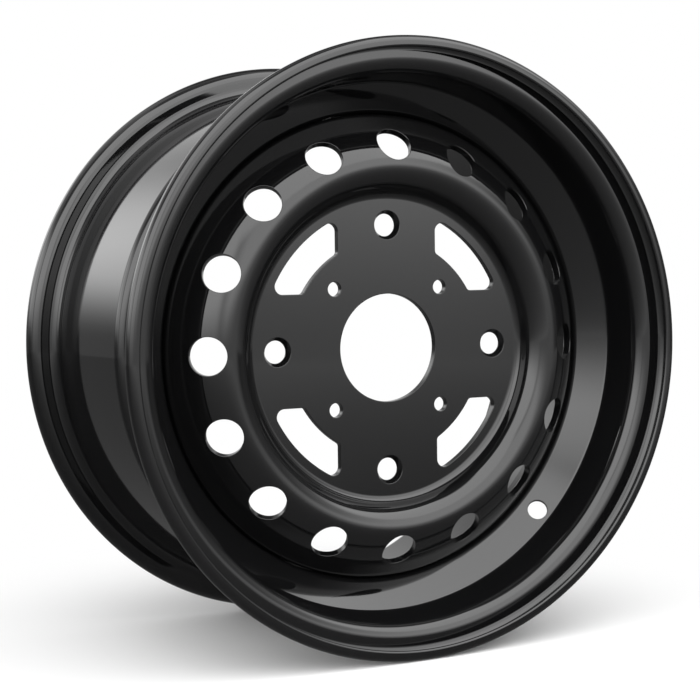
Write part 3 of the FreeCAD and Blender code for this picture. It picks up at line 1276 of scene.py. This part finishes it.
@dataclass(frozen=True)
class Studio:
    """White set: camera, world, pale floor, a dim ground that only gloss shows and a light tent."""

    camera_place: tuple[float, float, float] = (-0.4470, -0.8546, 0.0513)
    camera_right: tuple[float, float, float] = (0.8856, -0.4641, -0.0140)
    camera_up: tuple[float, float, float] = (0.0387, 0.0436, 0.9982)
    lens: float = 85.0
    sensor: float = 36.0
    fill: float = 0.3
    white: tuple[float, float, float, float] = (1, 1, 1, 1)
    floor_core: float = 0.1
    floor_radius: float = 0.34
    floor_colour: tuple[float, float, float, float] = (0.6, 0.6, 0.6, 1)
    ground_radius: float = 7.0
    ground_lift: float = 0.2 * MM
    ground_glow: tuple[float, float] = (0.16, 1.62)
    ground_way: tuple[float, float, float] = (-0.17, -0.98, 0)
    ground_reach: float = 3.0
    sheet_cells: tuple[int, int] = (24, 96)
    tent: LightTent = LightTent()

    def add_camera(self) -> None:
        """Sets the camera where the photograph was taken from."""
        data = bpy.data.cameras.new("camera")
        data.lens = self.lens
        data.sensor_width = self.sensor
        camera = bpy.data.objects.new("camera", data)
        right, up = Vector(self.camera_right), Vector(self.camera_up)
        back = right.cross(up)
        turn = Matrix((right, up, back)).transposed()
        camera.matrix_world = Matrix.Translation(self.camera_place) @ turn.to_4x4()
        bpy.context.scene.collection.objects.link(camera)
        bpy.context.scene.camera = camera

    @staticmethod
    def seen_rays(nodes: NodeSet) -> bpy.types.NodeSocket:
        """One for rays that show a thing: from the camera, off gloss and through glass.

        Args:
            nodes: Node tree that the answer is for.

        Returns:
            The output that holds it.
        """
        path = nodes.add("LightPath").outputs
        either = nodes.add("Math", {0: path["Is Camera Ray"], 1: path["Is Glossy Ray"]}, "MAXIMUM")
        return nodes.add("Math", {0: either.outputs[0], 1: path["Is Transmission Ray"]}, "MAXIMUM").outputs[0]

    def add_world(self) -> None:
        """Sets a white background where it is seen, and an even fill light elsewhere."""
        world = bpy.data.worlds.new("white_set")
        nodes = NodeSet.of(world)
        fill = nodes.tree.nodes["Background"]
        nodes.feed(fill, {"Color": self.white, "Strength": self.fill})
        seen = nodes.add("Background", {"Color": self.white, "Strength": 1})
        shown = {"Fac": self.seen_rays(nodes), 1: fill.outputs[0], 2: seen.outputs[0]}
        nodes.show(nodes.add("MixShader", shown), "World Output")
        bpy.context.scene.world = world

    def round_sheet(self, name: str, reach: float, height: float) -> bpy.types.Object:
        """A flat round sheet of the set: radius by angle on a grid.

        Args:
            name: Name of the sheet.
            reach: Radius of the sheet.
            height: Height that it lies at.

        Returns:
            The sheet's object.
        """
        radius, turns = np.meshgrid(np.linspace(0, reach, self.sheet_cells[0] + 1),
                                    np.linspace(0, 2 * np.pi, self.sheet_cells[1] + 1), indexing="ij")
        return grid_object(name, stack(radius * np.cos(turns), radius * np.sin(turns), height))

    def add_floor(self, height: float) -> None:
        """Adds the pale floor near the wheel, and the wide ground that only gloss shows.

        Args:
            height: Height of the floor.
        """
        floor = self.round_sheet("floor", self.floor_radius, height)
        floor.data.materials.append(self.floor_material())
        ground = self.round_sheet("dim_ground", self.ground_radius, height + self.ground_lift)
        ground.data.materials.append(self.ground_material())
        ground.visible_diffuse = False
        self.hide_from_camera(ground)

    def floor_material(self) -> bpy.types.Material:
        """Pale matt floor that keeps the shadow and fades into the white set by its distance from the middle.

        Returns:
            The material.
        """
        pale = bpy.data.materials.new("pale_floor")
        nodes = NodeSet.of(pale)
        matt = nodes.tree.nodes["Principled BSDF"]
        nodes.feed(matt, {"Base Color": self.floor_colour, "Roughness": 1, "Specular IOR Level": 0})
        place = nodes.add("TexCoord").outputs["Object"]
        flat = nodes.add("VectorMath", {0: place, 1: (1, 1, 0)}, "MULTIPLY")
        reach = nodes.add("VectorMath", {0: flat.outputs[0]}, "LENGTH").outputs["Value"]
        fade = nodes.add("MapRange", {"Value": reach, "From Min": self.floor_core, "From Max": self.floor_radius})
        fade.interpolation_type = "SMOOTHSTEP"
        share = nodes.add("Math", {0: fade.outputs["Result"], 1: self.seen_rays(nodes)}, "MULTIPLY")
        glow = nodes.add("Emission", {"Strength": 1})
        nodes.show(nodes.add("MixShader", {"Fac": share.outputs[0], 1: matt.outputs[0], 2: glow.outputs[0]}))
        return pale

    def ground_material(self) -> bpy.types.Material:
        """Dim grey that grows lighter evenly with the way towards the front.

        Returns:
            The material.
        """
        dim = bpy.data.materials.new("dim_ground")
        nodes = NodeSet.of(dim)
        place = nodes.add("TexCoord").outputs["Object"]
        ahead = nodes.add("VectorMath", {0: place, 1: self.ground_way}, "DOT_PRODUCT").outputs["Value"]
        near, far = self.ground_glow
        grow = nodes.add("MapRange", {"Value": ahead, "From Max": self.ground_reach, "To Min": near, "To Max": far})
        nodes.show(nodes.add("Emission", {"Strength": grow.outputs["Result"]}))
        return dim

    @staticmethod
    def hide_from_camera(sheet: bpy.types.Object) -> None:
        """Makes an object of the set one that lights and mirrors but is not seen.

        Args:
            sheet: Object of the set.
        """
        sheet.visible_camera = False
        sheet.visible_shadow = False

    def build(self, height: float) -> None:
        """Sets up the whole studio.

        Args:
            height: Height of the floor.
        """
        bpy.context.scene.view_settings.view_transform = "Standard"
        self.add_camera()
        self.add_world()
        self.add_floor(height)
        self.hide_from_camera(self.tent.build())


def main() -> None:
    """Builds the wheel's pieces and the studio."""
    logging.basicConfig(level=logging.INFO)
    finish = GlossPaint()
    paint = finish.material()
    rim = RimBarrel()
    disc = WheelDisc(rim)
    for part in (rim, disc, DiscWelds(disc)):
        piece = part.build()
        piece.data.materials.append(paint)
        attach(piece, "root")
        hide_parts(part.node)
        log.info("%s: %d faces", piece.name, len(piece.data.polygons))
    floor_height = CAD_BOX[0][2]
    Studio().build(floor_height)


if __name__ == "__main__":
    main()
